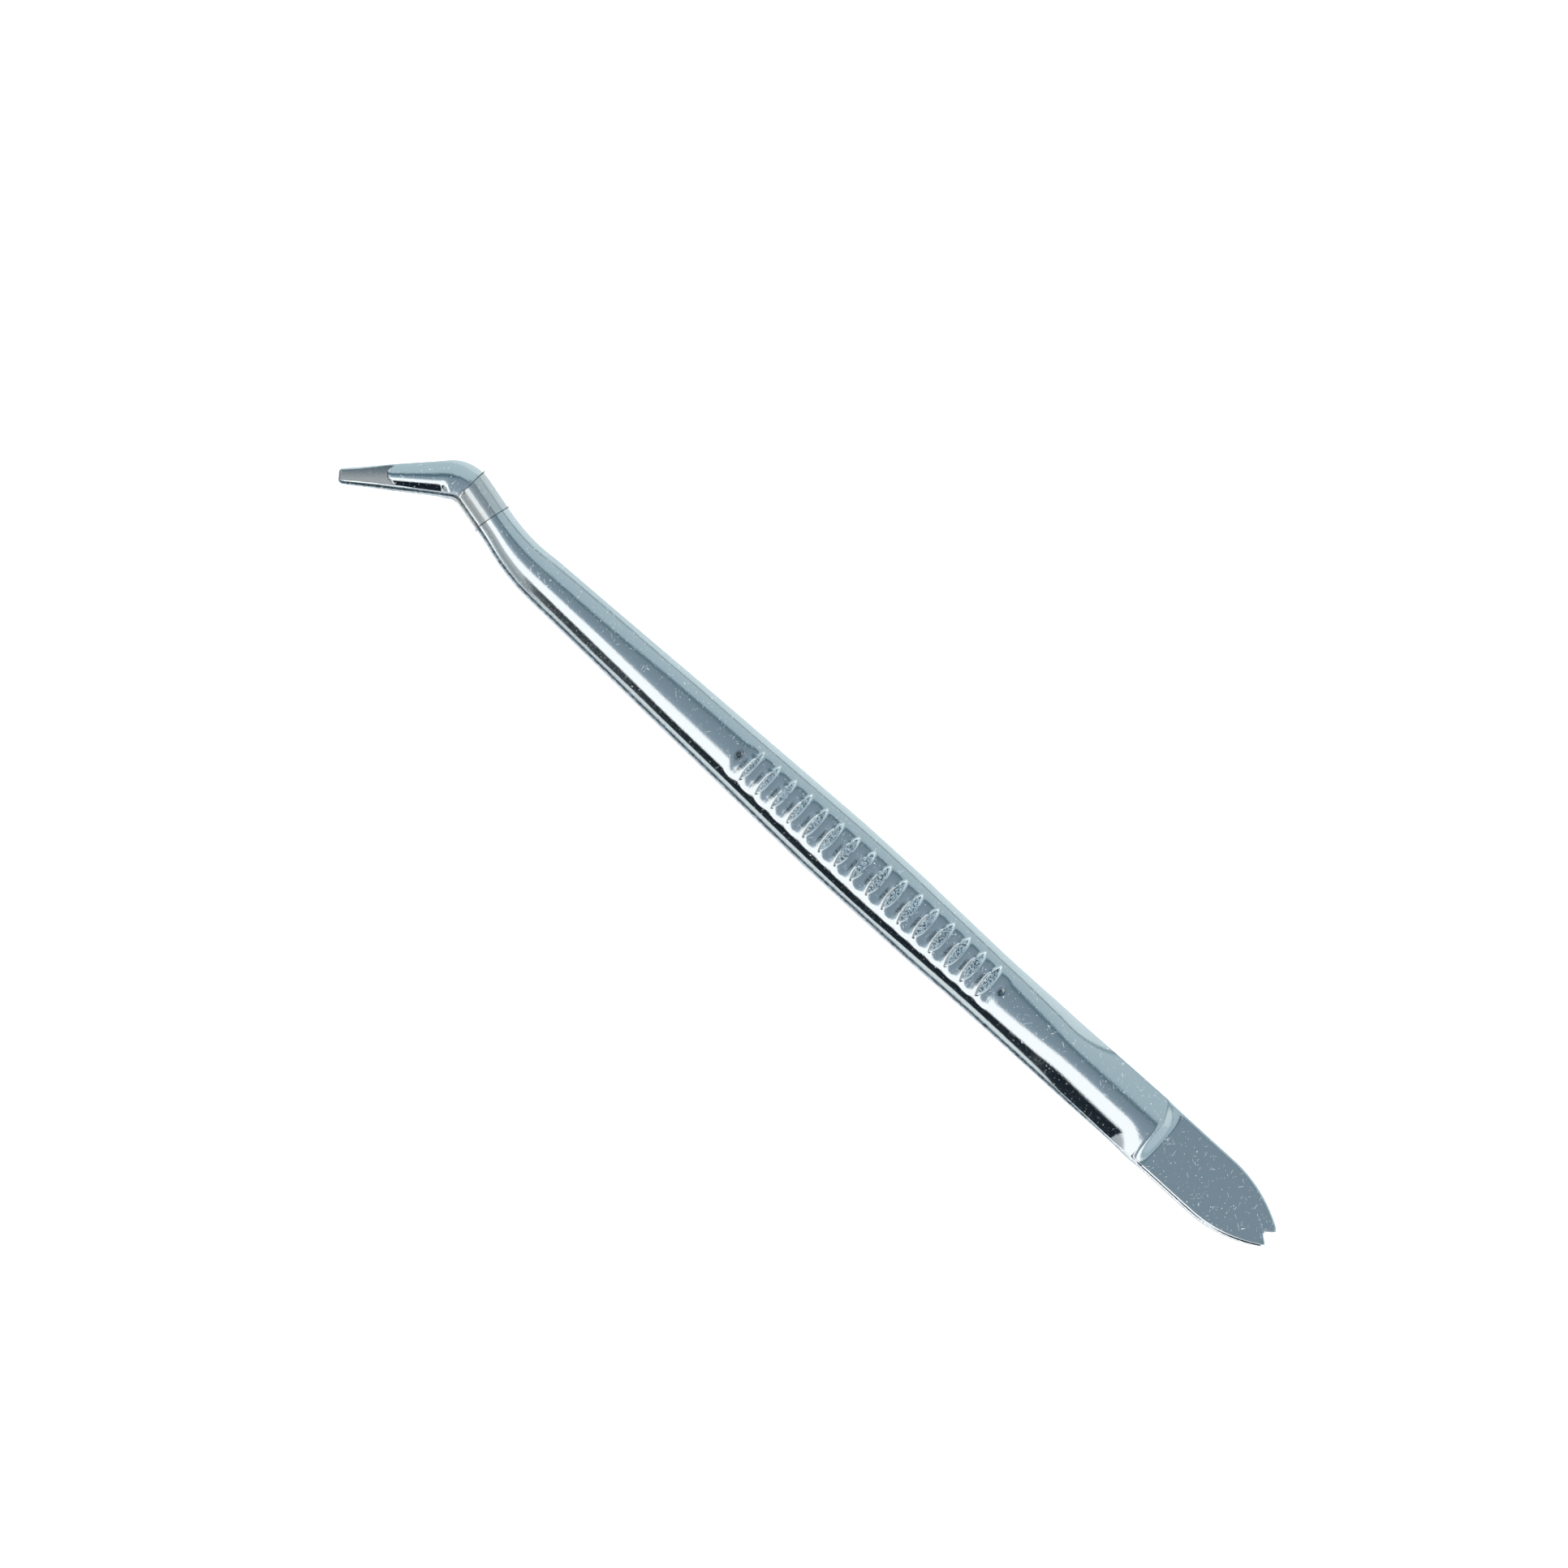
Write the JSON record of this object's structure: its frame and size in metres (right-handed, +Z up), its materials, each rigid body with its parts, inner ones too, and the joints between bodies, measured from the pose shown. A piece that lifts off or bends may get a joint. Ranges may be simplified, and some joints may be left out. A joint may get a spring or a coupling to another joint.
{
  "type": "angled tweezers",
  "caption": "Slim spring tweezers of polished sheet steel with a ribbed grip, a flat tail leaf, a sideways-turned blunt tip and a clear band holding them shut.",
  "frame": {"origin": "bottom centre of the whole tool's box, with the tool lying flat on its lower arm", "axes": "+X from the tail leaf to the tips, +Y towards the side that the tips turn to, +Z up through the stack of the two arms"},
  "size_m": [0.1504, 0.0134, 0.0046],
  "materials": {
    "polished_steel": "mirror polished pressed steel with fine scratches, sheared edges left rough",
    "weld_metal": "fused steel, hidden inside the leaves",
    "clear_film": "thin clear stretch film with a faint warm tint"
  },
  "bodies": {
    "fixed_arm": {"lower_arm": "polished_steel", "upper_tail_leaf": "polished_steel", "weld_nuggets": "weld_metal", "neck_band": "clear_film"},
    "moving_arm": {"upper_arm": "polished_steel"}
  },
  "joints": [
    {"name": "arm_opening", "type": "hinge", "parent": "fixed_arm", "child": "moving_arm", "pos_m": [-0.05916, -0.00178, 0.00327], "axis": [0, -1, 0], "range_deg": [0, 5.5], "stiffness_Nm_per_rad": 2, "deforming": ["neck_band"]}
  ]
}
